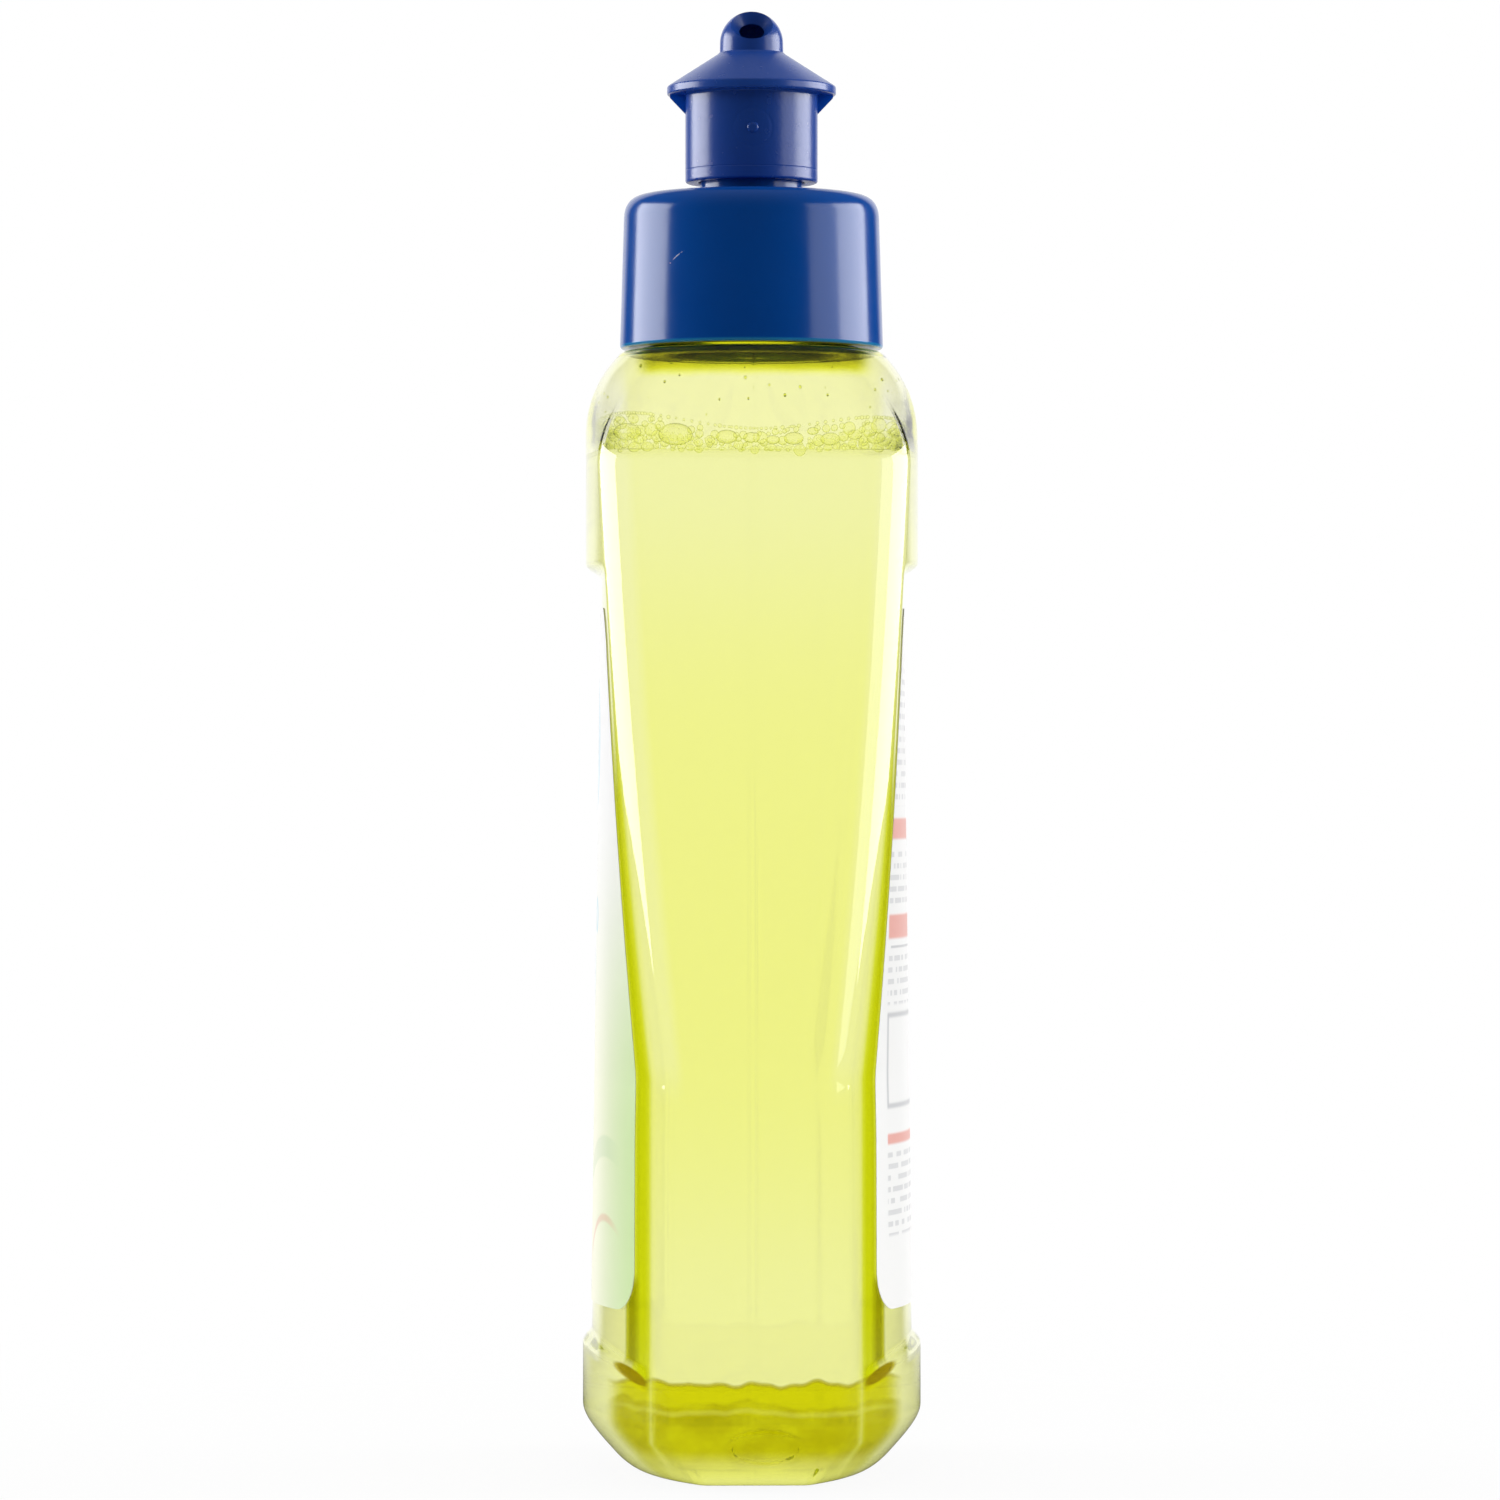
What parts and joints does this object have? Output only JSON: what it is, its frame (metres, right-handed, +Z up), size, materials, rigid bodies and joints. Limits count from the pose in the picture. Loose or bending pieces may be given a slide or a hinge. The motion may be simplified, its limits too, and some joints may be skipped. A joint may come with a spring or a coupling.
{
  "type": "rinse aid bottle",
  "caption": "Upright tinted clear bottle with leaning narrow sides and recessed label panels, a screw cap and a push-pull spout, filled with rinse aid.",
  "frame": {"origin": "middle of the base, on the plane it stands on", "axes": "+Z up along the neck, +X towards the narrow side that the spout's outlet faces, -Y towards the front label"},
  "size_m": [0.063, 0.0432, 0.1869],
  "materials": {
    "tinted_pet": "clear gloss, tinted yellow-green",
    "rinse_aid": "clear liquid",
    "foam_wad": "soft foam",
    "cap_blue": "gloss",
    "spout_blue": "satin",
    "front_print": "printed film",
    "back_print": "printed film"
  },
  "bodies": {
    "bottle": {"bottle": "tinted_pet", "liquid": "rinse_aid", "front_label": "front_print", "back_label": "back_print"},
    "seal": {"seal_wad": "foam_wad"},
    "cap": {"closure": "cap_blue"},
    "spout": {"spout": "spout_blue"}
  },
  "joints": [
    {"name": "cap_rise", "type": "slide", "parent": "bottle", "child": "seal", "axis": [0, 0, 1], "range_m": [0, 0.00635]},
    {"name": "cap_turn", "type": "hinge", "parent": "seal", "child": "cap", "pos_m": [0, 0, 0.15], "axis": [0, 0, 1], "range_deg": [0, 540]},
    {"name": "spout_pull", "type": "slide", "parent": "cap", "child": "spout", "axis": [0, 0, 1], "range_m": [0, 0.0055]}
  ],
  "couplings": [
    {"joint": "cap_rise", "follows": "cap_turn", "m_per_rad": 0.0006737}
  ]
}
